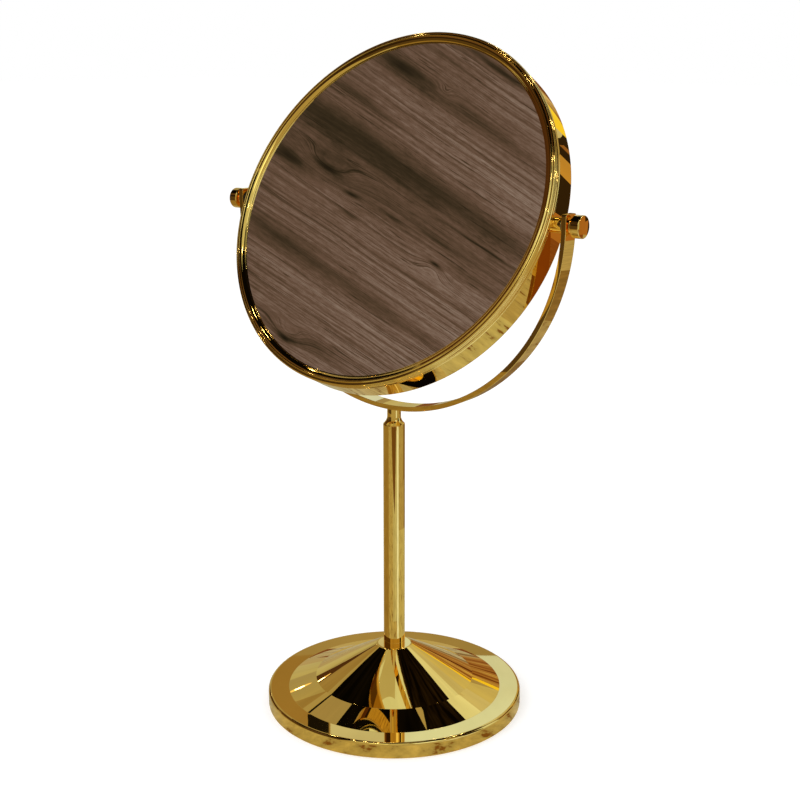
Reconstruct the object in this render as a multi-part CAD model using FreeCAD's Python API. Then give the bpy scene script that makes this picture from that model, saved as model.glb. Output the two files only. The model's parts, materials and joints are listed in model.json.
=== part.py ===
import FreeCAD, Part
import math
import os

# Table mirror: a round two-sided mirror head that tilts in a strip yoke on a weighted column stand.
# Millimetres, +Z up, origin under the middle of the pad that rests on the table.
# The head's pivot runs along X. The front mirror faces -Y and leans back by head_tilt.

# Base
base_diameter = 150.0
base_ring_height = 9.4        # flat outer ring above the table
base_edge_radius = 1.6        # rounding between the side wall and the ring
base_ring_width = 12.2        # from the side wall to the foot of the lower cone
base_step_diameter = 93.2     # crease between the lower and the upper cone
base_step_rise = 5.95         # crease above the ring
base_ledge_diameter = 20.4    # small flat that the column stands on, to its fold
base_ledge_rise = 19.95       # ledge above the crease
base_ledge_fold = 2.8         # rounding of the ledge's edge
base_sheet = 0.8              # wall of the pressed cover
base_rim_gap = 0.3            # cover's rim above the table
pad_thickness = 2.0
pad_side_gap = 1.2            # pad and weight inside the cover's wall
weight_head_gap = 0.6         # weight below the cover's ring
hub_foot_diameter = 44.0
hub_ledge_margin = 1.1        # hub's top inside the ledge's edge

# Base bolt
bolt_diameter = 6.0
bolt_hole_gap = 0.3           # round the bolt in the hub and the cover
bolt_thread_gap = 0.05        # round the bolt in the foot plug
bolt_head_flats = 10.0
bolt_head_height = 4.0
bolt_head_recess = 1.5        # head above the pad
bolt_reach = 16.0             # thread inside the foot plug
washer_diameter = 15.0
washer_thickness = 1.0
counterbore_gap = 1.5         # round the washer

# Column and neck
column_diameter = 12.5
column_wall = 1.0
column_length = 134.7         # from the ledge to the neck
foot_plug_length = 20.0
neck_bush_length = 14.0
neck_diameter = 7.9
neck_length = 9.3             # from the column to the yoke
neck_lip_inset = 0.15         # flare's edge inside the column's wall
neck_lip_height = 0.25
neck_flare_height = 4.55
spigot_diameter = 7.0
running_gap = 0.05            # round every turning pin
neck_spring_thickness = 0.8
neck_clip_thickness = 1.0
neck_clip_depth = 0.55        # clip's groove in the spigot
neck_clip_width = 1.3         # spring and clip beyond the spigot
spigot_tail = 1.2             # spigot below the clip

# Yoke
strip_thickness = 2.8
strip_width = 10.0
yoke_side_gap = 6.0           # drum to strip
ear_rise = 6.2                # strip's end above the pivot
ear_corner_radius = 1.4

# Head
head_diameter = 205.2
head_tilt = 27.5
head_front = 9.6              # front rim before the pivot
head_rear = 10.0              # rear lip behind the pivot
drum_wall = 0.8
rear_edge_radius = 1.2
rim_width = 6.0               # drum's outside to the edge of the visible mirror
glass_recess = 2.1            # mirror behind the front rim
glass_thickness = 3.0
glass_side_gap = 0.3
backing_thickness = 1.2
gasket_thickness = 0.5
rear_glass_thickness = 2.5
rear_mirror_curve = 1000.0    # radius of the magnifying mirror
spacer_width = 5.5
spacer_rim_gap = 1.6          # spacer inside the pivot plates

# Front bezel, from the mirror outwards and then down its skirt
bezel_lip_height = 0.4
bezel_lip_width = 0.5
inner_bead_width = 0.8
inner_bead_bulge = 0.3
face_groove_width = 1.1
face_groove_depth = 0.2
corner_bead_width = 0.7
corner_bead_drop = 0.8
corner_bead_bulge = 0.2
side_bead_height = 1.2
side_bead_bulge = 0.3
side_groove_height = 0.8
side_groove_depth = 0.2
low_bead_height = 0.9
low_bead_bulge = 0.25
skirt_depth = 5.5             # front rim to the skirt's edge
skirt_cove_depth = 0.25
bevel_bulge = 0.35
skirt_thickness = 1.05
bezel_fit = 0.03              # skirt round the drum

# Pivots and clamp knobs
stud_diameter = 3.9
boss_diameter = 8.0
boss_spigot_diameter = 6.0
plate_thickness = 2.0
plate_height = 6.4
plate_width = 20.0
bush_diameter = 6.0
bush_flange_diameter = 9.0
bush_flange_thickness = 0.6
face_gap = 0.05               # between faces that slide on each other
knob_diameter = 11.8
knob_length = 5.1
knob_rim_radius = 0.4
knob_dome = 0.3
knob_chamfer = 0.4
knob_bore_depth = 3.6
stud_fit = 0.02               # stud glued in the knob
spring_washer_diameter = 8.4
spring_washer_thickness = 2.2
spring_washer_rim = 0.6       # thickness at the rim
spring_washer_seat = 0.6      # width of the flat round the stud

# Heights and radii that follow from the sizes above
base_radius = base_diameter / 2
ledge_height = base_ring_height + base_step_rise + base_ledge_rise
column_top = ledge_height + column_length
tube_bore = column_diameter / 2 - column_wall
drum_radius = head_diameter / 2
strip_inside = drum_radius + yoke_side_gap
strip_outside = strip_inside + strip_thickness
pivot_height = column_top + neck_length + strip_outside
sight_radius = drum_radius - rim_width
glass_face = head_front - glass_recess
glass_back = glass_face - glass_thickness
skirt_edge = head_front - skirt_depth
drum_neck = drum_radius - skirt_thickness - bezel_fit
drum_inside = drum_radius - drum_wall
glass_radius = drum_neck - drum_wall - glass_side_gap
rear_seat = drum_wall + gasket_thickness - head_rear
rear_glass_radius = drum_inside - glass_side_gap
plate_inside = drum_inside - plate_thickness
spacer_outside = plate_inside - spacer_rim_gap
stud_hole = stud_diameter / 2 + running_gap
flange_face = math.sqrt(strip_inside ** 2 - (bush_flange_diameter / 2) ** 2) - face_gap
boss_end = flange_face - bush_flange_thickness - face_gap
washer_face = strip_outside + face_gap
knob_face = washer_face + spring_washer_thickness
knob_end = knob_face + knob_length

ORIGIN = FreeCAD.Vector(0, 0, 0)
AXIS_X = FreeCAD.Vector(1, 0, 0)
AXIS_Y = FreeCAD.Vector(0, 1, 0)
AXIS_Z = FreeCAD.Vector(0, 0, 1)


def vector(point):
    return FreeCAD.Vector(point[0], 0, point[1])


def profile(start, *steps):
    # Closed face in the half plane of radius and height: a step is an end point, or an arc's (through, end).
    edges = []
    here = start
    for step in steps + (start,):
        if isinstance(step[0], tuple):
            through, end = step
            edges.append(Part.Arc(vector(here), vector(through), vector(end)).toShape())
        else:
            end = step
            edges.append(Part.LineSegment(vector(here), vector(end)).toShape())
        here = end
    return Part.Face(Part.Wire(edges))


def turned(start, *steps):
    return profile(start, *steps).revolve(ORIGIN, AXIS_Z, 360)


def bulged(start, end, bulge):
    # Arc step from start to end that swells by bulge to the left of the way it runs.
    run = end[0] - start[0]
    rise = end[1] - start[1]
    length = math.hypot(run, rise)
    middle_r = (start[0] + end[0]) / 2 - rise / length * bulge
    middle_z = (start[1] + end[1]) / 2 + run / length * bulge
    return ((middle_r, middle_z), end)


def quarter(centre, radius, start_angle, end_angle):
    # Arc step about a centre, by angles in degrees from the radius direction.
    def at(angle):
        turn = math.radians(angle)
        return (centre[0] + radius * math.cos(turn), centre[1] + radius * math.sin(turn))
    return (at((start_angle + end_angle) / 2), at(end_angle))


def mitre(before, corner, after, wall):
    # Corner of a line that runs a wall's thickness to the right of two straight runs.
    def side(start, end):
        length = math.hypot(end[0] - start[0], end[1] - start[1])
        return ((end[1] - start[1]) / length, -(end[0] - start[0]) / length)
    first = side(before, corner)
    second = side(corner, after)
    share = wall / (1 + first[0] * second[0] + first[1] * second[1])
    return (corner[0] + (first[0] + second[0]) * share, corner[1] + (first[1] + second[1]) * share)


def fold(before, corner, after, radius):
    # Rounded corner between two straight runs: the point where the first ends, then the arc to the second.
    def toward(end):
        length = math.hypot(end[0] - corner[0], end[1] - corner[1])
        return ((end[0] - corner[0]) / length, (end[1] - corner[1]) / length)
    first = toward(before)
    second = toward(after)
    half_angle = math.acos(first[0] * second[0] + first[1] * second[1]) / 2
    reach = radius / math.tan(half_angle)
    depth = radius / math.sin(half_angle) - radius
    middle = math.hypot(first[0] + second[0], first[1] + second[1])
    start = (corner[0] + first[0] * reach, corner[1] + first[1] * reach)
    end = (corner[0] + second[0] * reach, corner[1] + second[1] * reach)
    through = (
        corner[0] + (first[0] + second[0]) / middle * depth,
        corner[1] + (first[1] + second[1]) / middle * depth,
    )
    return start, (through, end)


def ring(outer, inner, low, high):
    return turned((inner, low), (outer, low), (outer, high), (inner, high))


def rod_x(radius, start, end):
    return Part.makeCylinder(radius, end - start, FreeCAD.Vector(start, 0, 0), AXIS_X)


def single(shape):
    return shape.removeSplitter().Solids[0]


def to_side(shape, side):
    # Pieces on the pivot are made at +X and turned half round for the other end.
    turned_shape = shape.copy()
    if side < 0:
        turned_shape.rotate(ORIGIN, AXIS_Z, 180)
    return turned_shape


def on_pivot(shape):
    lifted = shape.copy()
    lifted.translate(FreeCAD.Vector(0, 0, pivot_height))
    return lifted


def in_head(shape):
    # Head pieces are made face up round the origin, stood to face -Y, leaned back and lifted.
    leaned = shape.copy()
    leaned.rotate(ORIGIN, AXIS_X, 90 - head_tilt)
    return on_pivot(leaned)


def base_cover():
    edge = base_edge_radius
    hole = bolt_diameter / 2 + bolt_hole_gap
    ring_in = (base_radius - base_ring_width, base_ring_height)
    step = (base_step_diameter / 2, base_ring_height + base_step_rise)
    ledge = (base_ledge_diameter / 2, ledge_height)
    ring_out = (base_radius - edge, base_ring_height)
    mouth = (hole, ledge_height)
    mouth_under = (hole, ledge_height - base_sheet)
    ledge_under = mitre(mouth, ledge, step, base_sheet)
    step_under = mitre(ledge, step, ring_in, base_sheet)
    edge_centre = (base_radius - edge, base_ring_height - edge)
    return turned(
        (base_radius, base_rim_gap),
        (base_radius, base_ring_height - edge),
        quarter(edge_centre, edge, 0, 90),
        ring_in,
        step,
        *fold(step, ledge, mouth, base_ledge_fold),
        mouth,
        mouth_under,
        *fold(mouth_under, ledge_under, step_under, base_ledge_fold - base_sheet),
        step_under,
        mitre(step, ring_in, ring_out, base_sheet),
        (base_radius - edge, base_ring_height - base_sheet),
        quarter(edge_centre, edge - base_sheet, 90, 0),
        (base_radius - base_sheet, base_rim_gap),
    )


def base_pad():
    return Part.makeCylinder(base_radius - base_sheet - pad_side_gap, pad_thickness)


def base_weight():
    outside = base_radius - base_sheet - pad_side_gap
    top = base_ring_height - base_sheet - weight_head_gap
    hub_top = ledge_height - base_sheet
    hub_radius = base_ledge_diameter / 2 - hub_ledge_margin
    bore = bolt_diameter / 2 + bolt_hole_gap
    counterbore = washer_diameter / 2 + counterbore_gap
    seat = pad_thickness + bolt_head_recess + bolt_head_height + washer_thickness
    return turned(
        (counterbore, pad_thickness),
        (outside, pad_thickness),
        (outside, top),
        (hub_foot_diameter / 2, top),
        (hub_radius, hub_top),
        (bore, hub_top),
        (bore, seat),
        (counterbore, seat),
    )


def base_bolt():
    low = pad_thickness + bolt_head_recess
    corner = bolt_head_flats / 2 / math.cos(math.pi / 6)
    corners = []
    for count in range(7):
        angle = count * math.pi / 3
        corners.append(FreeCAD.Vector(corner * math.cos(angle), corner * math.sin(angle), low))
    head = Part.Face(Part.makePolygon(corners)).extrude(AXIS_Z * bolt_head_height)
    shank_length = ledge_height + bolt_reach - low
    shank = Part.makeCylinder(bolt_diameter / 2, shank_length, FreeCAD.Vector(0, 0, low))
    return single(head.fuse(shank))


def base_washer():
    low = pad_thickness + bolt_head_recess + bolt_head_height
    return ring(washer_diameter / 2, bolt_diameter / 2 + bolt_hole_gap, low, low + washer_thickness)


def column_tube():
    return ring(column_diameter / 2, tube_bore, ledge_height, column_top)


def foot_plug():
    bore = bolt_diameter / 2 + bolt_thread_gap
    return ring(tube_bore, bore, ledge_height, ledge_height + foot_plug_length)


def neck_bush():
    return ring(tube_bore, spigot_diameter / 2 + running_gap, column_top - neck_bush_length, column_top)


def neck_stub():
    # Plain spigot with a clip groove, a flared foot and a neck that is hollowed to the yoke's curve.
    spigot = spigot_diameter / 2
    neck = neck_diameter / 2
    lip = column_diameter / 2 - neck_lip_inset
    flare_low = column_top + neck_lip_height
    flare_high = flare_low + neck_flare_height
    flare_width = lip - neck
    flare_radius = (flare_width ** 2 + neck_flare_height ** 2) / (2 * flare_width)
    flare_sweep = math.degrees(math.asin(neck_flare_height / flare_radius))
    groove_high = column_top - neck_bush_length - neck_spring_thickness
    groove_low = groove_high - neck_clip_thickness
    tail = groove_low - spigot_tail
    groove = spigot - neck_clip_depth
    neck_top = column_top + neck_length + strip_thickness
    blank = turned(
        (0, tail),
        (spigot, tail),
        (spigot, groove_low),
        (groove, groove_low),
        (groove, groove_high),
        (spigot, groove_high),
        (spigot, column_top),
        (lip, column_top),
        (lip, flare_low),
        quarter((neck + flare_radius, flare_high), flare_radius, 180 + flare_sweep, 180),
        (neck, neck_top),
        (0, neck_top),
    )
    bend = Part.makeCylinder(strip_outside, strip_width * 2, AXIS_Y * -strip_width, AXIS_Y)
    return single(blank.cut(on_pivot(bend)))


def neck_spring():
    high = column_top - neck_bush_length
    spigot = spigot_diameter / 2
    return ring(spigot + neck_clip_width, spigot + running_gap, high - neck_spring_thickness, high)


def neck_clip():
    high = column_top - neck_bush_length - neck_spring_thickness
    spigot = spigot_diameter / 2
    return ring(spigot + neck_clip_width, spigot - neck_clip_depth, high - neck_clip_thickness, high)


def ear():
    block = Part.makeBox(
        strip_thickness, strip_width, ear_rise, FreeCAD.Vector(strip_inside, -strip_width / 2, 0)
    )
    corners = []
    for edge in block.Edges:
        along_x = abs(edge.tangentAt(edge.FirstParameter).x) > 0.5
        if along_x and edge.CenterOfMass.z > ear_rise / 2:
            corners.append(edge)
    return block.makeFillet(ear_corner_radius, corners)


def yoke_strip():
    section = Part.makePlane(
        strip_thickness, strip_width, FreeCAD.Vector(strip_inside, -strip_width / 2, 0)
    )
    bow = section.revolve(ORIGIN, AXIS_Y, 180)
    blank = bow.fuse([to_side(ear(), 1), to_side(ear(), -1)])
    hole = rod_x(bush_diameter / 2, -strip_outside - strip_thickness, strip_outside + strip_thickness)
    return on_pivot(single(single(blank).cut(hole)))


def ear_bushes():
    flange_low = flange_face - bush_flange_thickness
    barrel = rod_x(bush_diameter / 2, flange_low, strip_outside)
    flange = rod_x(bush_flange_diameter / 2, flange_low, flange_face)
    bush = single(barrel.fuse(flange).cut(rod_x(stud_hole, flange_low, strip_outside)))
    return on_pivot(Part.makeCompound([to_side(bush, 1), to_side(bush, -1)]))


def drum_shell():
    # Thin drum, rolled in at the rear and necked at the front where the bezel slips over it.
    rear = -head_rear
    edge = rear_edge_radius
    edge_centre = (drum_radius - edge, rear + edge)
    neck_inside = drum_neck - drum_wall
    drum = turned(
        (sight_radius, rear),
        (drum_radius - edge, rear),
        quarter(edge_centre, edge, -90, 0),
        (drum_radius, skirt_edge),
        (drum_neck, skirt_edge),
        (drum_neck, glass_face),
        (neck_inside, glass_face),
        (neck_inside, skirt_edge - drum_wall),
        (drum_inside, skirt_edge - drum_wall),
        (drum_inside, rear + edge),
        quarter(edge_centre, edge - drum_wall, 0, -90),
        (sight_radius, rear + drum_wall),
    )
    spigot_hole = rod_x(boss_spigot_diameter / 2, -head_diameter, head_diameter)
    return in_head(single(drum.cut(spigot_hole)))


def front_bezel():
    # Moulded ring: lip, bevel, bead, groove and corner bead on its face, beads and a cove on its skirt.
    corner = drum_radius - corner_bead_width
    bead_out = corner - face_groove_width
    bead_in = bead_out - inner_bead_width
    lip_top = glass_face + bezel_lip_height
    lip_out = sight_radius + bezel_lip_width
    side_high = head_front - corner_bead_drop
    side_low = side_high - side_bead_height
    low_high = side_low - side_groove_height
    low_low = low_high - low_bead_height
    skirt_inside = drum_neck + bezel_fit
    face = [(lip_out, lip_top), (bead_in, head_front), (bead_out, head_front), (corner, head_front)]
    wall = [(drum_radius, z) for z in (side_high, side_low, low_high, low_low, skirt_edge)]
    swells = (
        bevel_bulge,
        inner_bead_bulge,
        -face_groove_depth,
        corner_bead_bulge,
        side_bead_bulge,
        -side_groove_depth,
        low_bead_bulge,
        -skirt_cove_depth,
    )
    outline = face + wall
    mouldings = [bulged(a, b, swell) for a, b, swell in zip(outline, outline[1:], swells)]
    bezel = turned(
        (sight_radius, glass_face),
        (sight_radius, lip_top),
        (lip_out, lip_top),
        *mouldings,
        (skirt_inside, skirt_edge),
        (skirt_inside, glass_face),
    )
    return in_head(bezel)


def front_mirror():
    return in_head(Part.makeCylinder(glass_radius, glass_thickness, AXIS_Z * glass_back))


def front_backing():
    low = glass_back - backing_thickness
    return in_head(Part.makeCylinder(glass_radius, backing_thickness, AXIS_Z * low))


def rear_glass_height(radius):
    # Rear face of the magnifying mirror: its rim sits on the gasket and its middle is sunk.
    def drop(r):
        return rear_mirror_curve - math.sqrt(rear_mirror_curve ** 2 - r ** 2)
    return rear_seat + drop(rear_glass_radius) - drop(radius)


def rear_mirror():
    half = rear_glass_radius / 2
    rim = rear_glass_height(rear_glass_radius)
    middle = rear_glass_height(half)
    centre = rear_glass_height(0)
    glass = rear_glass_thickness
    return in_head(turned(
        (0, centre),
        ((half, middle), (rear_glass_radius, rim)),
        (rear_glass_radius, rim + glass),
        ((half, middle + glass), (0, centre + glass)),
    ))


def rear_gasket():
    low = drum_wall - head_rear
    outside = drum_radius - rear_edge_radius
    return in_head(ring(outside, sight_radius, low, low + gasket_thickness))


def mirror_spacer():
    # Ring that stands on the magnifying mirror's back and carries the front mirror's backing.
    inner = spacer_outside - spacer_width
    high = glass_back - backing_thickness
    seat = [
        (radius, rear_glass_height(radius) + rear_glass_thickness)
        for radius in (inner, spacer_outside - spacer_width / 2, spacer_outside)
    ]
    return in_head(turned(
        seat[0],
        (seat[1], seat[2]),
        (spacer_outside, high),
        (inner, high),
    ))


def pivot_boss(side):
    # Round boss saddled on the drum, with a spigot through its wall.
    drum = Part.makeCylinder(drum_radius, head_diameter, AXIS_Z * -drum_radius)
    inside = Part.makeCylinder(drum_inside, head_diameter, AXIS_Z * -drum_radius)
    boss = rod_x(boss_diameter / 2, plate_inside, boss_end).cut(drum)
    spigot = rod_x(boss_spigot_diameter / 2, plate_inside, boss_end).cut(inside)
    blank = boss.fuse(spigot).cut(rod_x(stud_hole, plate_inside, boss_end))
    return in_head(to_side(single(blank), side))


def pivot_plate(side):
    low = -plate_height / 2
    bent = ring(drum_inside, plate_inside, low, low + plate_height)
    window = Part.makeBox(
        drum_radius, plate_width, head_diameter, FreeCAD.Vector(0, -plate_width / 2, -drum_radius)
    )
    plate = bent.common(window).cut(rod_x(stud_hole, 0, drum_radius))
    return in_head(to_side(single(plate), side))


def knob(side):
    radius = knob_diameter / 2
    rim = radius - knob_rim_radius
    end = knob_length
    bore = stud_diameter / 2 + stud_fit
    dome_radius = (rim ** 2 + knob_dome ** 2) / (2 * knob_dome)
    dome_sweep = math.degrees(math.asin(rim / dome_radius))
    blank = turned(
        (bore, 0),
        (radius - knob_chamfer, 0),
        (radius, knob_chamfer),
        (radius, end - knob_rim_radius),
        quarter((rim, end - knob_rim_radius), knob_rim_radius, 0, 90),
        quarter((0, end + knob_dome - dome_radius), dome_radius, 90 - dome_sweep, 90),
        (0, knob_bore_depth),
        (bore, knob_bore_depth),
    )
    blank.rotate(ORIGIN, AXIS_Y, 90)
    blank.translate(AXIS_X * knob_face)
    return on_pivot(to_side(blank, side))


def stud(side):
    return on_pivot(to_side(rod_x(stud_diameter / 2, plate_inside, knob_face + knob_bore_depth), side))


def spring_washer(side):
    # Pair of disc springs, drawn as one ring that is thickest at the stud
    radius = spring_washer_diameter / 2
    seat = stud_hole + spring_washer_seat
    fall = (spring_washer_thickness - spring_washer_rim) / 2
    washer = turned(
        (stud_hole, 0),
        (seat, 0),
        (radius, fall),
        (radius, fall + spring_washer_rim),
        (seat, spring_washer_thickness),
        (stud_hole, spring_washer_thickness),
    )
    washer.rotate(ORIGIN, AXIS_Y, 90)
    washer.translate(AXIS_X * washer_face)
    return on_pivot(to_side(washer, side))


single_pieces = (
    base_pad,
    base_weight,
    base_cover,
    base_bolt,
    base_washer,
    column_tube,
    foot_plug,
    neck_bush,
    neck_stub,
    neck_spring,
    neck_clip,
    yoke_strip,
    ear_bushes,
    drum_shell,
    front_bezel,
    front_mirror,
    front_backing,
    mirror_spacer,
    rear_mirror,
    rear_gasket,
)
paired_pieces = (pivot_boss, pivot_plate, knob, stud, spring_washer)
sides = {"left": -1, "right": 1}

nodes = {piece.__name__: piece() for piece in single_pieces}
for piece in paired_pieces:
    for side_name, side in sides.items():
        nodes[piece.__name__ + "_" + side_name] = piece(side)

os.makedirs("parts", exist_ok=True)
for name, shape in nodes.items():
    shape.exportStep("parts/" + name + ".step")
    print(name, len(shape.Solids), "solid", round(shape.Volume, 1), "mm3", shape.isValid())
print("pivot height", round(pivot_height, 2), "width over the knobs", round(2 * (knob_end + knob_dome), 2))
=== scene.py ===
import json
import math

import bpy
import numpy as np
from mathutils import Matrix, Vector


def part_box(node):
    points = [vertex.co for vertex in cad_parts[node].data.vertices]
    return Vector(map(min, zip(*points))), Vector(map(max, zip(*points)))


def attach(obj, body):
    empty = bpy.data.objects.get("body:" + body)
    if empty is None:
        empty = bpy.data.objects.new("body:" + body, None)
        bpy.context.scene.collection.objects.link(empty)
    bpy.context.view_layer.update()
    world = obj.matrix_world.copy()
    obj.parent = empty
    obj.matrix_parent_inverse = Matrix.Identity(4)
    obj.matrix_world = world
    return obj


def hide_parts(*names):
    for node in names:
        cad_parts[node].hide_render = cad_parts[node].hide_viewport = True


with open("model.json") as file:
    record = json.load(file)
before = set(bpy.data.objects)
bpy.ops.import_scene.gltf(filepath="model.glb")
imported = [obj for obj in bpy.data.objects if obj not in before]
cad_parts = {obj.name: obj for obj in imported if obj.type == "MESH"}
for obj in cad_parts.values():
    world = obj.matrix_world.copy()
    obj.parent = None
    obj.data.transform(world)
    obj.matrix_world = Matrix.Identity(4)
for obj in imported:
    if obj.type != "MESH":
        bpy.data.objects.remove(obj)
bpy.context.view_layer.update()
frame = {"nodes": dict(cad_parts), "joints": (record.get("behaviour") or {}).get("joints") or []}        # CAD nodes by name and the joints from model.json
mm = 0.001
crisp = 0.05             # rounding of an edge that looks sharp, millimetres
joints = {joint["name"]: joint for joint in frame["joints"]}
pivot = np.array(joints["head_tilt"]["pos_m"])


# Outlines: radius and height of a turned piece, in millimetres, with the metal on the left of the run
def filleted(corners, radii, count=7):
    # Straight runs with an arc at each corner: the arc touches both runs at radius / tan(half the corner's
    # angle) and its points are the blended directions from its centre, brought to its radius.
    corner = np.asarray(corners, float)
    radius = np.asarray(radii, float)[:, None]
    before = np.roll(corner, 1, 0) - corner
    after = np.roll(corner, -1, 0) - corner
    before /= np.linalg.norm(before, axis=1, keepdims=True)
    after /= np.linalg.norm(after, axis=1, keepdims=True)
    halfAngle = np.arccos(np.clip((before * after).sum(1, keepdims=True), -1, 1)) / 2
    middle = before + after
    middle /= np.linalg.norm(middle, axis=1, keepdims=True)
    reach = radius / np.tan(halfAngle)
    centre = corner + middle * radius / np.sin(halfAngle)
    first = corner + before * reach - centre
    last = corner + after * reach - centre
    share = np.linspace(0, 1, count)[None, :, None]
    spoke = first[:, None] * (1 - share) + last[:, None] * share
    spoke /= np.maximum(np.linalg.norm(spoke, axis=2, keepdims=True), 1e-12)
    line = (centre[:, None] + spoke * radius[:, None]).reshape(-1, 2)
    moved = np.linalg.norm(line - np.roll(line, 1, 0), axis=1) > 1e-6
    return line[moved]


def offsetLine(corners, wall):
    # The same straight runs a wall's thickness to the left: an inner corner lies on the mitre of its runs.
    corner = np.asarray(corners, float)
    run = np.diff(corner, axis=0)
    run /= np.linalg.norm(run, axis=1, keepdims=True)
    left = np.stack([-run[:, 1], run[:, 0]], 1)
    first = np.vstack([left[:1], left])
    second = np.vstack([left, left[-1:]])
    return corner + (first + second) * wall / (1 + (first * second).sum(1, keepdims=True))


def mouldings(corners, swells, count=12):
    # Beads and coves between neighbouring points: each is the chord plus a parabola as high as its swell.
    corner = np.asarray(corners, float)
    run = np.diff(corner, axis=0)
    left = np.stack([-run[:, 1], run[:, 0]], 1) / np.linalg.norm(run, axis=1, keepdims=True)
    share = np.linspace(0, 1, count, endpoint=False)[None, :, None]
    rise = 4 * np.asarray(swells, float)[:, None, None] * share * (1 - share)
    line = corner[:-1, None] + run[:, None] * share + left[:, None] * rise
    return np.vstack([line.reshape(-1, 2), corner[-1:]])


# Surfaces: a grid of points, its faces and its normals
def gridQuads(rows, columns, closedRows):
    # Four neighbouring grid points make a face. Columns always close, rows close on a ring-shaped outline.
    row = np.arange(rows if closedRows else rows - 1)[:, None]
    column = np.arange(columns)[None, :]
    nextRow = (row + 1) % rows
    nextColumn = (column + 1) % columns
    corners = [row * columns + column, row * columns + nextColumn]
    corners += [nextRow * columns + nextColumn, nextRow * columns + column]
    return np.stack(np.broadcast_arrays(*corners), -1).reshape(-1, 4)


def fan(ringStart, columns, tip, flipped):
    # Triangles from one ring of the grid to a single tip point.
    column = np.arange(columns)
    here = ringStart + column
    there = ringStart + (column + 1) % columns
    pair = (there, here) if flipped else (here, there)
    return np.stack([pair[0], pair[1], np.full(columns, tip)], 1)


def turnedSkin(outline, turns=256):
    # Surface of revolution about Z: (r cos a, r sin a, z) for every outline point and every angle a.
    # An outline whose ends lie on the axis is closed there by one tip point each.
    line = np.asarray(outline, float) * mm
    tipped = line[0, 0] < 1e-9 and line[-1, 0] < 1e-9
    rim = line[1:-1] if tipped else line
    angle = np.linspace(0, 2 * np.pi, turns, endpoint=False)
    spokes = np.stack([np.cos(angle), np.sin(angle)], 1)
    flat = rim[:, None, :1] * spokes[None]
    high = np.broadcast_to(rim[:, None, 1:], (len(rim), turns, 1))
    points = np.concatenate([flat, high], 2).reshape(-1, 3)
    quads = gridQuads(len(rim), turns, not tipped)
    tips = np.zeros((0, 3), int)
    if tipped:
        ends = np.array([[0, 0, line[0, 1]], [0, 0, line[-1, 1]]])
        count = len(points)
        points = np.vstack([points, ends])
        tips = np.vstack([fan(0, turns, count, True), fan(count - turns, turns, count + 1, False)])
    return points, quads, tips


def faceNormals(points, quads, tips):
    # A point's normal is the sum of its faces' normals, each weighted by the square of the face's area,
    # so that broad flats stay flat right up to their rounded edges.
    total = np.zeros_like(points)
    one, two, three, four = (points[quads[:, index]] for index in range(4))
    left, right, tip = (points[tips[:, index]] for index in range(3))
    quadNormals = np.cross(three - one, four - two)
    tipNormals = np.cross(right - left, tip - left)
    for faces, normal in ((quads, quadNormals), (tips, tipNormals)):
        weighted = normal * np.linalg.norm(normal, axis=1, keepdims=True)
        np.add.at(total, faces.ravel(), np.repeat(weighted, faces.shape[1], axis=0))
    return total / np.maximum(np.linalg.norm(total, axis=1, keepdims=True), 1e-30)


def addPiece(name, skin, finish, body, slot, *nodes, turn=None, lift=(0, 0, 0)):
    # Puts a skin in its place in the frame and hands it to the body that carries it.
    points, quads, tips = skin
    if turn is not None:
        points = points @ np.array(turn).T
    points = points + np.array(lift)
    mesh = bpy.data.meshes.new(name)
    mesh.from_pydata(points.tolist(), [], quads.tolist() + tips.tolist())
    mesh.polygons.foreach_set("use_smooth", np.ones(len(mesh.polygons), bool))
    mesh.normals_split_custom_set_from_vertices(faceNormals(points, quads, tips).tolist())
    mesh.materials.append(finish)
    piece = bpy.data.objects.new(name, mesh)
    bpy.context.scene.collection.objects.link(piece)
    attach(piece, body)
    if nodes:
        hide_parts(*nodes)


# Finishes
def newFinish(name):
    finish = bpy.data.materials.new(name)
    finish.use_nodes = True
    tree = finish.node_tree
    return finish, tree, tree.nodes["Principled BSDF"]


def addNode(tree, kind, **values):
    # Values named like a socket go to that socket, with spaces for capitals. The rest are node settings.
    node = tree.nodes.new(kind)
    for key, value in values.items():
        spaced = "".join(" " + letter if letter.isupper() else letter for letter in key).title()
        if spaced in node.inputs:
            node.inputs[spaced].default_value = value
        else:
            setattr(node, key, value)
    return node


def objectPoints(tree, scale=(1, 1, 1), turn=(0, 0, 0)):
    place = addNode(tree, "ShaderNodeTexCoord")
    mapping = addNode(tree, "ShaderNodeMapping", scale=scale, rotation=turn)
    tree.links.new(place.outputs["Object"], mapping.inputs["Vector"])
    return mapping.outputs["Vector"]


def noise(tree, points, scale, detail=3.0, roughness=0.5):
    cloud = addNode(tree, "ShaderNodeTexNoise", scale=scale, detail=detail, roughness=roughness)
    tree.links.new(points, cloud.inputs["Vector"])
    return cloud.outputs["Fac"]


def spread(tree, value, low, high, fromLow=0.3, fromHigh=0.7):
    # Stretches a noise value to a range of its own.
    node = addNode(tree, "ShaderNodeMapRange", fromMin=fromLow, fromMax=fromHigh, toMin=low, toMax=high)
    tree.links.new(value, node.inputs["Value"])
    return node.outputs["Result"]


def tones(tree, value, *stops):
    ramp = tree.nodes.new("ShaderNodeValToRGB")
    elements = ramp.color_ramp.elements
    elements[0].position, elements[0].color = stops[0][0], (*stops[0][1], 1)
    elements[1].position, elements[1].color = stops[-1][0], (*stops[-1][1], 1)
    for place, tone in stops[1:-1]:
        elements.new(place).color = (*tone, 1)
    tree.links.new(value, ramp.inputs["Fac"])
    return ramp.outputs["Color"]


def bumped(tree, shader, height, depth, strength):
    bump = addNode(tree, "ShaderNodeBump", strength=strength, distance=depth)
    tree.links.new(height, bump.inputs["Height"])
    tree.links.new(bump.outputs["Normal"], shader.inputs["Normal"])


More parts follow.
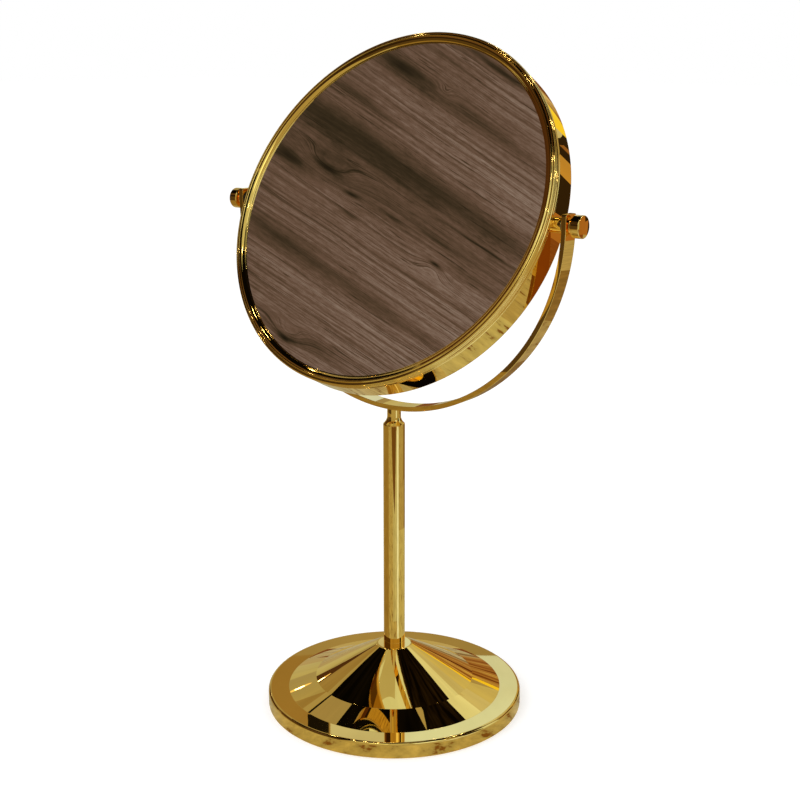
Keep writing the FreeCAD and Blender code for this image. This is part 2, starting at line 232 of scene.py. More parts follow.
goldLook = {
    "deep": (0.92, 0.60, 0.145),      # plating where it lies thicker
    "pale": (0.96, 0.65, 0.17),
    "patchScale": 22.0,
    "smudgeScale": 38.0,
    "polish": (0.008, 0.030),         # roughness of bare polish and of a faint smudge
    "waveScale": 55.0,
    "waveDepth": 0.00002,
}


def makeGold(name, look):
    finish, tree, shader = newFinish(name)
    points = objectPoints(tree)
    patches = noise(tree, points, look["patchScale"], 2.0)
    smudges = noise(tree, points, look["smudgeScale"], 5.0, 0.6)
    waves = noise(tree, points, look["waveScale"], 1.0)
    shader.inputs["Metallic"].default_value = 1.0
    plating = tones(tree, patches, (0.35, look["deep"]), (0.65, look["pale"]))
    tree.links.new(plating, shader.inputs["Base Color"])
    tree.links.new(spread(tree, smudges, *look["polish"], 0.45, 0.75), shader.inputs["Roughness"])
    bumped(tree, shader, waves, look["waveDepth"], 0.5)
    return finish


glassLook = {
    "clear": (0.90, 0.915, 0.905),
    "film": (0.88, 0.895, 0.885),
    "polish": (0.002, 0.012),
    "filmScale": 16.0,
}


def makeMirror(name, look):
    finish, tree, shader = newFinish(name)
    points = objectPoints(tree)
    film = noise(tree, points, look["filmScale"], 6.0, 0.65)
    shader.inputs["Metallic"].default_value = 1.0
    tone = tones(tree, film, (0.4, look["clear"]), (0.75, look["film"]))
    tree.links.new(tone, shader.inputs["Base Color"])
    tree.links.new(spread(tree, film, *look["polish"], 0.5, 0.85), shader.inputs["Roughness"])
    return finish


evenGrain = (1, 1, 1)
# dark and light tone, then metallic, roughness range, and the grain's scale, depth in metres and stretch
plainLooks = {
    "castIron": ((0.018, 0.018, 0.020), (0.045, 0.045, 0.048),
                 0.6, (0.55, 0.80), 420.0, 0.00012, evenGrain),
    "padRubber": ((0.010, 0.010, 0.011), (0.024, 0.024, 0.025),
                  0.0, (0.62, 0.82), 900.0, 0.00005, evenGrain),
    "zincSteel": ((0.42, 0.43, 0.45), (0.58, 0.59, 0.61),
                  1.0, (0.22, 0.38), 700.0, 0.00001, (0.08, 1, 1)),
    "blackNylon": ((0.010, 0.010, 0.011), (0.020, 0.020, 0.022),
                   0.0, (0.38, 0.52), 1200.0, 0.00001, evenGrain),
    "backingBoard": ((0.10, 0.07, 0.042), (0.19, 0.14, 0.09),
                     0.0, (0.75, 0.92), 500.0, 0.00004, (1, 0.15, 1)),
}


def makePlain(name):
    dark, light, metallic, polish, scale, depth, stretch = plainLooks[name]
    finish, tree, shader = newFinish(name)
    points = objectPoints(tree, stretch)
    grain = noise(tree, points, scale, 4.0, 0.6)
    shader.inputs["Metallic"].default_value = metallic
    tree.links.new(tones(tree, grain, (0.35, dark), (0.65, light)), shader.inputs["Base Color"])
    tree.links.new(spread(tree, grain, *polish), shader.inputs["Roughness"])
    bumped(tree, shader, grain, depth, 0.6)
    return finish


gold = makeGold("goldPlate", goldLook)
silver = makeMirror("mirrorSilver", glassLook)
plain = {name: makePlain(name) for name in plainLooks}
print("finishes made:", len(bpy.data.materials))

carriedFinish = {
    "castIron": ("base_weight",),
    "padRubber": ("rear_gasket",),
    "zincSteel": ("base_bolt", "base_washer", "foot_plug", "neck_spring", "neck_clip",
                  "stud_left", "stud_right", "pivot_plate_left", "pivot_plate_right"),
    "blackNylon": ("neck_bush", "ear_bushes", "mirror_spacer"),
    "backingBoard": ("front_backing",),
}
for finishName, nodeNames in carriedFinish.items():
    for nodeName in nodeNames:
        for place in frame["nodes"][nodeName].material_slots:
            place.material = plain[finishName]


# Base, column and neck
baseShape = {
    "radius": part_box("base_cover")[1].x / mm,
    "rim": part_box("base_cover")[0].z / mm,
    "ring": 9.4,          # height of the flat ring
    "ringWidth": 12.2,
    "crease": (46.6, 15.35),
    "ledge": 10.2,        # radius of the small flat under the column, to its fold
    "ledgeFold": 2.8,
    "top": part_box("base_cover")[1].z / mm,
    "bore": 3.3,
    "sheet": 0.8,
    "edge": 1.6,          # rounding of the outer edge
    "fold": 0.45,         # rounding of the pressed creases
    "insideFold": 0.1,
    "rimRound": 0.2,
}


def baseSkin(shape):
    # Pressed cover: wall, ring, two cones and a ledge, then the same line a sheet's thickness inside.
    outside = [
        (shape["radius"], shape["rim"]),
        (shape["radius"], shape["ring"]),
        (shape["radius"] - shape["ringWidth"], shape["ring"]),
        shape["crease"],
        (shape["ledge"], shape["top"]),
        (shape["bore"], shape["top"]),
    ]
    inside = offsetLine(outside, shape["sheet"])[::-1]
    rim, sheet, fold, insideFold = shape["rimRound"], shape["sheet"], shape["fold"], shape["insideFold"]
    outer = [rim, shape["edge"], fold, fold, shape["ledgeFold"], rim]
    inner = [rim, shape["ledgeFold"] - sheet, insideFold, insideFold, shape["edge"] - sheet, rim]
    return turnedSkin(filleted(np.vstack([outside, inside]), outer + inner, 9), 320)


addPiece("base_cover_skin", baseSkin(baseShape), gold, "stand", "gold_plate", "base_cover")

padShape = {
    "radius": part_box("base_pad")[1].x / mm,
    "thickness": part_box("base_pad")[1].z / mm,
    "edge": 0.5,
    "grooves": (18.0, 36.0, 54.0),    # grip grooves in the underside
    "grooveWidth": 4.0,
    "grooveDepth": 0.5,
    "grooveRound": 0.3,
}


def padSkin(shape):
    # Disc whose underside has ring grooves with sloping sides.
    half = shape["grooveWidth"] / 2
    under = [(0, 0)]
    for middle in shape["grooves"]:
        under += [(middle - half, 0), (middle - half / 2, shape["grooveDepth"])]
        under += [(middle + half / 2, shape["grooveDepth"]), (middle + half, 0)]
    rim = [(shape["radius"], 0), (shape["radius"], shape["thickness"]), (0, shape["thickness"])]
    radii = [0] + [shape["grooveRound"]] * (len(under) - 1) + [shape["edge"], shape["edge"], 0]
    return turnedSkin(filleted(under + rim, radii, 5), 192)


addPiece("base_pad_skin", padSkin(padShape), plain["padRubber"], "stand", "pad_rubber", "base_pad")

columnShape = {
    "radius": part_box("column_tube")[1].x / mm,
    "low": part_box("column_tube")[0].z / mm,
    "high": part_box("column_tube")[1].z / mm,
    "wall": 1.0,
    "edge": 0.35,
}


def columnSkin(shape):
    # Plain tube with a rounded top edge.
    radius, low, high = shape["radius"], shape["low"], shape["high"]
    bore = radius - shape["wall"]
    corners = [(radius, low), (radius, high), (bore, high), (bore, low)]
    return turnedSkin(filleted(corners, [crisp, shape["edge"], crisp, crisp], 7), 160)


addPiece("column_skin", columnSkin(columnShape), gold, "stand", "gold_plate", "column_tube")

neckShape = {
    "tail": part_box("neck_stub")[0].z / mm,
    "spigot": 3.5,
    "foot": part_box("column_tube")[1].z / mm,
    "lip": 6.1,
    "lipHeight": 0.25,
    "neck": 3.95,
    "flare": 4.55,        # height of the flared foot
    "top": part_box("yoke_strip")[0].z / mm + 1.2,      # ends inside the strip
}


def neckSkin(shape):
    # Spigot, thin lip, then a flare that is a circle's arc standing upright where it meets the neck.
    width = shape["lip"] - shape["neck"]
    flareRadius = (width ** 2 + shape["flare"] ** 2) / (2 * width)
    flareFoot = shape["foot"] + shape["lipHeight"]
    rise = np.linspace(0, shape["flare"], 14)
    left = shape["flare"] - rise
    flareWidth = shape["neck"] + flareRadius - np.sqrt(flareRadius ** 2 - left ** 2)
    flare = np.stack([flareWidth, flareFoot + rise], 1)
    spigot = [(0, shape["tail"]), (shape["spigot"], shape["tail"])]
    spigot += [(shape["spigot"], shape["foot"]), (shape["lip"], shape["foot"])]
    top = [(shape["neck"], shape["top"]), (0, shape["top"])]
    return turnedSkin(np.vstack([spigot, flare, top]), 128)


addPiece("neck_skin", neckSkin(neckShape), gold, "yoke", "gold_plate", "neck_stub")

yokeShape = {
    "outside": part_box("yoke_strip")[1].x / mm,
    "thickness": 2.8,
    "width": 2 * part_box("yoke_strip")[1].y / mm,
    "earRise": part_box("yoke_strip")[1].z / mm - pivot[2] / mm,
    "earCorner": 1.4,
    "arris": 0.25,        # rounding of the strip's long edges
    "leastArris": 0.03,   # what is left of that rounding at the strip's very ends
    "bowSteps": 240,
    "cornerSteps": 7,
    "earSteps": 16,
    "earStart": 0.16,     # angle on the ear's corner circle where the strip ends, radians
}


def yokeSkin(shape):
    # A rounded rectangle carried along the strip's middle line: down one ear, round the half circle, up the
    # other. Near each end the section narrows by the ear's corner circle and draws in by the arris circle.
    middle = shape["outside"] - shape["thickness"] / 2
    rise, arris, corner = shape["earRise"], shape["arris"], shape["earCorner"]
    fine = rise - corner * (1 - np.cos(np.linspace(shape["earStart"], np.pi / 2, shape["earSteps"])))
    ear = np.concatenate([fine, np.linspace(rise - corner, 0, 6)[1:-1]])
    turn = np.linspace(0, -np.pi, shape["bowSteps"] + 1)
    along = np.concatenate([ear, np.zeros(len(turn)), ear[::-1]])
    angle = np.concatenate([np.zeros(len(ear)), turn, np.full(len(ear), -np.pi)])
    outward = np.stack([np.cos(angle), 0 * angle, np.sin(angle)], 1)
    centre = middle * outward + along[:, None] * np.array([0, 0, 1])
    fromEnd = np.where(along > 0, rise - along, rise)
    lack = np.clip(corner - fromEnd, 0, None)
    narrow = corner - np.sqrt(corner ** 2 - lack ** 2)
    drawIn = arris - np.sqrt(arris ** 2 - np.clip(arris - fromEnd, 0, None) ** 2)
    quarter = np.linspace(0, np.pi / 2, shape["cornerSteps"])
    sweep = (quarter[None] + np.arange(4)[:, None] * np.pi / 2).ravel()
    cornerAngle = np.repeat(np.arange(4) * np.pi / 2 + np.pi / 4, shape["cornerSteps"])
    acrossSign, sideSign = np.sign(np.cos(cornerAngle)), np.sign(np.sin(cornerAngle))
    radius = np.maximum(arris - drawIn, shape["leastArris"])[:, None]
    across = acrossSign * (shape["thickness"] / 2 - arris) + radius * np.cos(sweep)
    side = sideSign * (shape["width"] / 2 - arris - narrow[:, None]) + radius * np.sin(sweep)
    points = centre[:, None] + across[..., None] * outward[:, None] + side[..., None] * np.array([0, 1, 0])
    columns = points.shape[1]
    tipPoints = centre[[0, -1]]
    flatPoints = np.vstack([points.reshape(-1, 3), tipPoints]) * mm
    count = len(points) * columns
    quads = gridQuads(len(points), columns, False)
    tips = np.vstack([fan(0, columns, count, True), fan(count - columns, columns, count + 1, False)])
    return flatPoints, quads, tips


addPiece("yoke_skin", yokeSkin(yokeShape), gold, "yoke", "gold_plate", "yoke_strip", lift=pivot)
print("stand and yoke made")

# Head: turned face up about Z, stood up to face -Y and leaned back
headTilt = 27.5
headTurn = Matrix.Rotation(math.radians(90 - headTilt), 3, "X")
headShape = {
    "radius": 102.6,
    "front": 9.6,
    "rear": -10.0,
    "wall": 0.8,
    "rearEdge": 1.2,
    "lipRound": 0.3,
    "frontEdge": 0.15,
    "sight": 96.6,        # radius of the mirror that shows
    "glass": 7.5,         # height of the front mirror's face
    "skirt": 4.1,         # height of the bezel skirt's edge
    "neck": 101.52,       # drum under the skirt
    "skirtInside": 101.55,
}


def drumSkin(shape):
    # Drum with a rolled rear lip and a necked front edge.
    neckInside = shape["neck"] - shape["wall"]
    inside = shape["radius"] - shape["wall"]
    corners = [
        (shape["sight"], shape["rear"]),
        (shape["radius"], shape["rear"]),
        (shape["radius"], shape["skirt"]),
        (shape["neck"], shape["skirt"]),
        (shape["neck"], shape["glass"]),
        (neckInside, shape["glass"]),
        (neckInside, shape["skirt"] - shape["wall"]),
        (inside, shape["skirt"] - shape["wall"]),
        (inside, shape["rear"] + shape["wall"]),
        (shape["sight"], shape["rear"] + shape["wall"]),
    ]
    radii = [shape["lipRound"], shape["rearEdge"], shape["frontEdge"]] + [crisp] * 5
    radii += [shape["rearEdge"] - shape["wall"], shape["lipRound"]]
    return turnedSkin(filleted(corners, radii, 9), 384)


addPiece("drum_skin", drumSkin(headShape), gold, "head", "gold_plate", "drum_shell",
         turn=headTurn, lift=pivot)

bezelShape = {
    "lip": (0.5, 0.4),            # width and height of the thin lip on the mirror
    "bead": (100.0, 100.8),       # inner bead on the face
    "corner": 101.9,              # face groove to the corner bead
    "wallHeights": (8.8, 7.6, 6.8, 5.9),
    "swells": (0.35, 0.3, -0.2, 0.2, 0.3, -0.2, 0.25, -0.25),
}


def bezelSkin(head, shape):
    # Moulded ring: lip, rounded bevel, bead, groove and corner bead in front, beads and coves on the skirt.
    lipTop = head["glass"] + shape["lip"][1]
    face = [(head["sight"] + shape["lip"][0], lipTop)]
    face += [(radius, head["front"]) for radius in (*shape["bead"], shape["corner"])]
    side = [(head["radius"], height) for height in (*shape["wallHeights"], head["skirt"])]
    moulded = mouldings(face + side, shape["swells"])
    back = [(head["skirtInside"], head["skirt"]), (head["skirtInside"], head["glass"])]
    lip = [(head["sight"], head["glass"]), (head["sight"], lipTop)]
    return turnedSkin(np.vstack([moulded, back, lip])[::-1], 720)


addPiece("front_bezel_skin", bezelSkin(headShape, bezelShape), gold, "head", "gold_plate", "front_bezel",
         turn=headTurn, lift=pivot)

glassShape = {
    "radius": 100.42,
    "thickness": 3.0,
    "rearRadius": 101.5,
    "rearThickness": 2.5,
    "rearSeat": -8.7,
    "rearCurve": 1000.0,          # radius of the magnifying mirror
    "arris": 0.3,
}


def frontGlassSkin(head, shape):
    # Flat disc with both edges rounded.
    low = head["glass"] - shape["thickness"]
    corners = [(0, low), (shape["radius"], low), (shape["radius"], head["glass"]), (0, head["glass"])]
    return turnedSkin(filleted(corners, [0, shape["arris"], shape["arris"], 0], 5), 256)


def rearGlassSkin(shape):
    # Shallow dish: both faces follow a sphere, height = seat + drop(rim) - drop(r).
    radius = np.linspace(0, shape["rearRadius"], 40)
    drop = shape["rearCurve"] - np.sqrt(shape["rearCurve"] ** 2 - radius ** 2)
    height = shape["rearSeat"] + drop[-1] - drop
    under = np.stack([radius, height], 1)
    over = np.stack([radius, height + shape["rearThickness"]], 1)[::-1]
    return turnedSkin(np.vstack([under, over]), 256)


addPiece("front_mirror_skin", frontGlassSkin(headShape, glassShape), silver, "head", "mirror_glass",
         "front_mirror", turn=headTurn, lift=pivot)
addPiece("rear_mirror_skin", rearGlassSkin(glassShape), silver, "head", "mirror_glass", "rear_mirror",
         turn=headTurn, lift=pivot)

# Pivot bosses and clamp knobs, turned about Z and laid along X
sideTurns = {
    "right": Matrix.Rotation(math.radians(90), 3, "Y"),
    "left": Matrix.Rotation(math.pi, 3, "Z") @ Matrix.Rotation(math.radians(90), 3, "Y"),
}
bossShape = {
    "radius": 4.0,
    "bore": 2.0,
    "inner": 102.0,       # starts inside the drum's wall
    "outer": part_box("pivot_boss_right")[1].x / mm,
    "edge": 0.4,
    "boreEdge": 0.1,
}
knobShape = {
    "radius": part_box("knob_right")[1].y / mm,
    "bore": 1.97,
    "boreDepth": 3.6,
    "face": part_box("knob_right")[0].x / mm,
    "end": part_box("knob_right")[1].x / mm,
    "dome": 0.3,
    "chamfer": 0.4,
    "chamferRound": 0.15,
    "rim": 0.4,
    "boreEdge": 0.1,
}
springShape = {
    "radius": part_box("spring_washer_right")[1].y / mm,
    "bore": 2.05,
    "seat": 2.65,         # radius of the flat round the stud
    "face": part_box("spring_washer_right")[0].x / mm,
    "end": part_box("spring_washer_right")[1].x / mm,
    "rim": 0.6,
    "seam": 0.12,         # groove where the two discs meet
    "seamEdge": 0.03,
    "edge": 0.08,
}


def bossSkin(shape):
    # Short tube with a rounded outer edge.
    corners = [(shape["radius"], shape["inner"]), (shape["radius"], shape["outer"])]
    corners += [(shape["bore"], shape["outer"]), (shape["bore"], shape["inner"])]
    return turnedSkin(filleted(corners, [crisp, shape["edge"], shape["boreEdge"], crisp], 7), 96)


def knobSkin(shape):
    # Chamfered back, plain side, rounded rim and an end that rises in the middle like a shallow parabola.
    length = shape["end"] - shape["face"] - shape["dome"]
    back = [(0, shape["boreDepth"]), (shape["bore"], shape["boreDepth"]), (shape["bore"], 0)]
    side = [(shape["radius"] - shape["chamfer"], 0), (shape["radius"], shape["chamfer"])]
    side += [(shape["radius"], length), (0, length)]
    radii = [0, crisp, shape["boreEdge"], shape["chamferRound"], shape["chamferRound"], shape["rim"], 0]
    line = filleted(back + side, radii, 9)
    flatRadius = shape["radius"] - shape["rim"]
    spokes = np.linspace(flatRadius, 0, 12)[1:]
    end = np.stack([spokes, length + shape["dome"] * (1 - (spokes / flatRadius) ** 2)], 1)
    return turnedSkin(np.vstack([line[:-1], end]) + np.array([0, shape["face"]]), 128)


def springSkin(shape):
    # Two coned discs that meet rim to rim in a fine seam.
    radius, seam, edge = shape["radius"], shape["seam"], shape["edge"]
    middle = (shape["face"] + shape["end"]) / 2
    low, high = middle - shape["rim"] / 2, middle + shape["rim"] / 2
    rim = [(radius, low), (radius, middle - seam), (radius - seam, middle)]
    rim += [(radius, middle + seam), (radius, high)]
    corners = [(shape["seat"], shape["face"])] + rim + [(shape["seat"], shape["end"])]
    corners += [(shape["bore"], shape["end"]), (shape["bore"], shape["face"])]
    radii = [edge, edge, shape["seamEdge"], 0, shape["seamEdge"], edge, edge, crisp, crisp]
    return turnedSkin(filleted(corners, radii, 5), 96)


for sideName, sideTurn in sideTurns.items():
    addPiece("pivot_boss_" + sideName + "_skin", bossSkin(bossShape), gold, "head", "gold_plate",
             "pivot_boss_" + sideName, turn=sideTurn, lift=pivot)
    addPiece("knob_" + sideName + "_skin", knobSkin(knobShape), gold, "knob_" + sideName, "gold_plate",
             "knob_" + sideName, turn=sideTurn, lift=pivot)
    addPiece("spring_" + sideName + "_skin", springSkin(springShape), gold, "knob_" + sideName,
             "gold_plate", "spring_washer_" + sideName, turn=sideTurn, lift=pivot)
print("head and knobs made")

# Camera at the photograph's angle
view = {
    "azimuth": 37.36,     # degrees round the stand, 0 is straight in front
    "distance": 0.7453,   # from the stand's axis
    "height": 0.3746,
    "down": 14.36,        # degrees below the horizon
    "aside": 0.26,        # degrees right of the axis
    "lens": 61.0,         # millimetres
    "frame": 36.0,        # width of the square frame, millimetres
}


def polar(azimuth, radius, height):
    # Point or direction round the stand: azimuth 0 is -Y and 90 is +X.
    turn = math.radians(azimuth)
    return Vector((radius * math.sin(turn), -radius * math.cos(turn), height))


camera = bpy.data.objects.new("viewCamera", bpy.data.cameras.new("viewCamera"))
camera.data.sensor_width = view["frame"]
camera.data.lens = view["lens"]
camera.location = polar(view["azimuth"], view["distance"], view["height"])
down = math.radians(view["down"])
sight = polar(view["azimuth"] + 180 - view["aside"], math.cos(down), -math.sin(down))
camera.rotation_mode = "QUATERNION"
camera.rotation_quaternion = sight.to_track_quat("-Z", "Y")
bpy.context.scene.collection.objects.link(camera)
bpy.context.scene.camera = camera

# Stage: pale floor, soft light, and cards that only polished surfaces see
studio = {
    "floorSize": 30.0,
    "floorTone": (0.80, 0.80, 0.80),
    "floorShade": 0.985,      # darkest share of that tone in the floor's soft clouds
    "cloudScale": 3.0,
    "floorLift": 0.44,        # light added to the floor, so that it meets the white background
    "ambient": 0.75,
    "keyPower": 10.0,
    "keySize": 1.4,
    "keyPlace": (-50, 1.2, 1.9),  # azimuth from the camera's own, distance and height
    "aim": 0.15,              # height that the key light and the small lamps face
    "wallRadius": 2.2,
    "ceiling": 2.0,
    "cardLift": 0.0004,       # height of the floor card, with the patches above it
    "patchLift": 0.0006,
    "patchStep": 0.0001,
}


def seenDirectly(tree):
    # 1 for rays from the camera, from metal and through glass.
    path = tree.nodes.new("ShaderNodeLightPath")
    total = None
    for name in ("Is Camera Ray", "Is Glossy Ray", "Is Transmission Ray"):
        if total is None:
            total = path.outputs[name]
            continue
        both = addNode(tree, "ShaderNodeMath", operation="MAXIMUM")
        tree.links.new(total, both.inputs[0])
        tree.links.new(path.outputs[name], both.inputs[1])
        total = both.outputs[0]
    return total


def makeFloor():
    finish = bpy.data.materials.new("paleFloor")
    finish.use_nodes = True
    tree = finish.node_tree
    tree.nodes.clear()
    points = objectPoints(tree)
    matt = addNode(tree, "ShaderNodeBsdfDiffuse")
    cloud = noise(tree, points, studio["cloudScale"], 2.0)
    shade = tuple(value * studio["floorShade"] for value in studio["floorTone"])
    tree.links.new(tones(tree, cloud, (0.3, shade), (0.7, studio["floorTone"])), matt.inputs["Color"])
    glow = addNode(tree, "ShaderNodeEmission")
    scaled = addNode(tree, "ShaderNodeMath", operation="MULTIPLY")
    scaled.inputs[1].default_value = studio["floorLift"]
    tree.links.new(seenDirectly(tree), scaled.inputs[0])
    tree.links.new(scaled.outputs[0], glow.inputs["Strength"])
    both = tree.nodes.new("ShaderNodeAddShader")
    tree.links.new(matt.outputs[0], both.inputs[0])
    tree.links.new(glow.outputs[0], both.inputs[1])
    out = tree.nodes.new("ShaderNodeOutputMaterial")
    tree.links.new(both.outputs[0], out.inputs["Surface"])
    return finish


def stageObject(name, points, faces, finish, onlyShine):
    mesh = bpy.data.meshes.new(name)
    mesh.from_pydata(np.asarray(points).tolist(), [], np.asarray(faces).tolist())
    mesh.materials.append(finish)
    card = bpy.data.objects.new(name, mesh)
    bpy.context.scene.collection.objects.link(card)
    if onlyShine:
        card.visible_camera = False
        card.visible_diffuse = False
        card.visible_shadow = False
        card.visible_transmission = False
    return card


squareFace = [[0, 1, 2, 3]]
half = studio["floorSize"] / 2
floorCorners = np.array([[-half, -half, 0], [half, -half, 0], [half, half, 0], [-half, half, 0]])
stageObject("paleFloor", floorCorners, squareFace, makeFloor(), False)


def glowFinish(name):
    finish = bpy.data.materials.new(name)
    finish.use_nodes = True
    tree = finish.node_tree
    tree.nodes.clear()
    glow = addNode(tree, "ShaderNodeEmission")
    out = tree.nodes.new("ShaderNodeOutputMaterial")
    tree.links.new(glow.outputs[0], out.inputs["Surface"])
    return finish, tree, glow


def noiseCard(name, stops, scale, stretch=(1, 1, 1)):
    finish, tree, glow = glowFinish(name)
    cloud = noise(tree, objectPoints(tree, stretch), scale, 6.0, 0.65)
    tree.links.new(tones(tree, cloud, *stops), glow.inputs["Color"])
    return finish


def mottledCard(name, tone, spreadShare, scale, fleck=None):
    # A card of one tone with soft mottling and, if asked for, small flecks where the noise is lowest.
    dark = tuple(value * (1 - spreadShare) for value in tone)
    light = tuple(value * (1 + spreadShare) for value in tone)
    stops = [(0.42, dark), (0.66, light)]
    if fleck:
        stops.insert(0, (0.37, fleck))
    return noiseCard(name, stops, scale)


def fromCamera(azimuths):
    # Azimuths counted from the camera's own, as azimuths round the stand.
    return [azimuth + view["azimuth"] for azimuth in azimuths]


def arc(azimuths, radius, height, steps):
    # Points (R sin a, -R cos a, z) from one azimuth to the other.
    turn = np.radians(np.linspace(*azimuths, steps + 1))
    return np.column_stack([radius * np.sin(turn), -radius * np.cos(turn), np.full(steps + 1, height)])


def addBand(name, first, second, finish):
    # One row of faces between two arcs.
    steps = len(first) - 1
    step = np.arange(steps)
    faces = np.stack([step, step + 1, steps + 2 + step, steps + 1 + step], 1)
    stageObject(name, np.vstack([first, second]), faces, finish, True)


def wallPatch(name, azimuths, heights, finish, radius, steps=24):
    # Upright band round the stand, between two heights.
    low, high = (arc(azimuths, radius, height, steps) for height in heights)
    addBand(name, low, high, finish)


def floorPatch(name, azimuths, radii, height, finish, steps=24, nearAzimuths=None):
    # Flat sector round the stand at one height, narrowed at its near edge if nearAzimuths says so.
    near = arc(nearAzimuths or azimuths, radii[0], height, steps)
    far = arc(azimuths, radii[1], height, steps)
    addBand(name, near, far, finish)


wallRadius, ceiling = studio["wallRadius"], studio["ceiling"]
wallTone = mottledCard("wallCard", (0.44, 0.40, 0.26), 0.10, 1.5)
wallPatch("wallCard", (-180, 180), (0, ceiling), wallTone, wallRadius, 96)
ceilingTone = mottledCard("ceilingCard", (0.0035, 0.0028, 0.002), 0.5, 3.0)
floorPatch("ceilingCard", (-180, 180), (0.001, wallRadius), ceiling, ceilingTone, 96)
ceilingRight = mottledCard("ceilingRight", (0.010, 0.0065, 0.003), 0.8, 9.0)
floorPatch("ceilingRight", (95, 190), (0.35, 1.7), ceiling - 0.01, ceilingRight)
fleck = (0.20, 0.10, 0.03)
floorTone = mottledCard("floorCard", (0.49, 0.455, 0.30), 0.24, 60.0, fleck)
floorPatch("floorCard", (-180, 180), (0.001, wallRadius), studio["cardLift"], floorTone, 96)

# azimuths from the camera's own, heights in metres, radius, tone
panels = {
    "paleBack": ((-188, -180), (1.0, 1.8), 2.18, (0.71, 0.93, 1.26)),
    "paleBackLeft": ((-180, -176), (1.0, 1.8), 2.18, (0.58, 0.65, 0.66)),
    "goldBack": ((-190, -170), (0.86, 1.0), 2.17, (0.37, 0.32, 0.19)),
    "paleBackLow": ((-190, -170), (0.30, 0.86), 2.17, (0.55, 0.55, 0.32)),
    "rustBack": ((-190, -168), (0.0, 0.30), 2.16, (0.22, 0.09, 0.03)),
    "brownBack": ((-176, -170), (1.0, 1.8), 2.18, (0.33, 0.24, 0.10)),
    "darkBack": ((-175.9, -174.6), (1.145, 1.20), 2.16, (0.01, 0.008, 0.005)),
    "leftNear": ((-150, -118), (1.0, 1.75), 2.18, (0.34, 0.28, 0.16)),
    "leftRed": ((-152, -118), (0.35, 1.0), 2.17, (0.08, 0.038, 0.018)),
    "leftHigh": ((-150, -118), (1.75, 1.95), 2.18, (0.42, 0.40, 0.30)),
    "leftFar": ((-170, -150), (0.6, 1.95), 2.18, (0.43, 0.42, 0.30)),
    "leftLow": ((-170, -150), (0.2, 0.6), 2.18, (0.53, 0.55, 0.36)),
    "leftDark": ((-142, -118), (0.0, 0.35), 2.18, (0.02, 0.012, 0.006)),
    "highLeft": ((-168, -140), (0.86, 1.38), 0.9, (0.40, 0.37, 0.29)),
    "highRight": ((147, 165), (0.78, 1.13), 0.9, (0.58, 0.58, 0.46)),
    "warmRight": ((138, 154), (0.6, 1.9), 2.18, (0.61, 0.61, 0.40)),
    "darkRight": ((60, 80), (0.1, 1.9), 2.18, (0.03, 0.02, 0.01)),
    "paleRight": ((80, 99), (0.0, 1.6), 2.18, (0.72, 0.86, 1.0)),
    "sideRed": ((-128, -98), (0.35, 1.95), 2.16, (0.08, 0.036, 0.016)),
    "sideDark": ((-98, -45), (0.45, 1.36), 2.16, (0.03, 0.018, 0.012)),
    "sideBrown": ((-98, -45), (1.36, 1.95), 2.16, (0.08, 0.045, 0.025)),
    "brownLow": ((-110, -45), (0.001, 0.45), 0.865, (0.09, 0.06, 0.03)),
    "paleFront": ((-45, 18), (0.75, 1.85), 0.9, (0.66, 0.72, 0.66)),
    "glowFront": ((-24, -6), (0.70, 1.02), 0.89, (1.5, 1.7, 1.6)),
    "brightFront": ((18, 46), (0.50, 1.25), 0.9, (0.95, 1.15, 1.45)),
    "paleMiddle": ((122, 168), (1.1, 1.45), 1.6, (0.60, 0.63, 0.56)),
    "paleHigh": ((122, 168), (1.45, 1.96), 1.6, (0.78, 0.92, 1.0)),
    "darkLow": ((99, 146), (0.001, 0.60), 1.50, (0.030, 0.018, 0.008)),
    "orangeLow": ((99, 118), (0.001, 0.20), 1.48, (0.42, 0.19, 0.055)),
    "orangeHigh": ((99, 110.5), (0.20, 0.30), 1.48, (0.42, 0.19, 0.055)),
    "goldLow": ((122.5, 130), (0.10, 0.58), 1.48, (0.58, 0.36, 0.09)),
    "rustLow": ((134, 136), (0.001, 0.58), 1.48, (0.32, 0.15, 0.04)),
    "yellowRight": ((141.5, 156), (0.585, 0.65), 1.47, (1.0, 0.82, 0.06)),
}
for panelName, (azimuths, heights, radius, tone) in panels.items():
    wallPatch(panelName, fromCamera(azimuths), heights, mottledCard(panelName, tone, 0.08, 2.0), radius)

# Level streaks from dark brown through rust and tan to yellow
rustStreaks = {
    "azimuths": (143, 170),
    "heights": (0.001, 0.62),
    "radius": 1.48,
    "scale": 2.2,
    "stretch": (1, 1, 7),
    "stops": (
        (0.34, (0.012, 0.006, 0.002)),
        (0.42, (0.16, 0.050, 0.010)),
        (0.50, (0.34, 0.16, 0.045)),
        (0.58, (0.42, 0.27, 0.10)),
        (0.68, (0.85, 0.66, 0.24)),
    ),
}
rustTone = noiseCard("rustStreaks", rustStreaks["stops"], rustStreaks["scale"], rustStreaks["stretch"])
wallPatch("rustStreaks", fromCamera(rustStreaks["azimuths"]), rustStreaks["heights"], rustTone,
          rustStreaks["radius"])

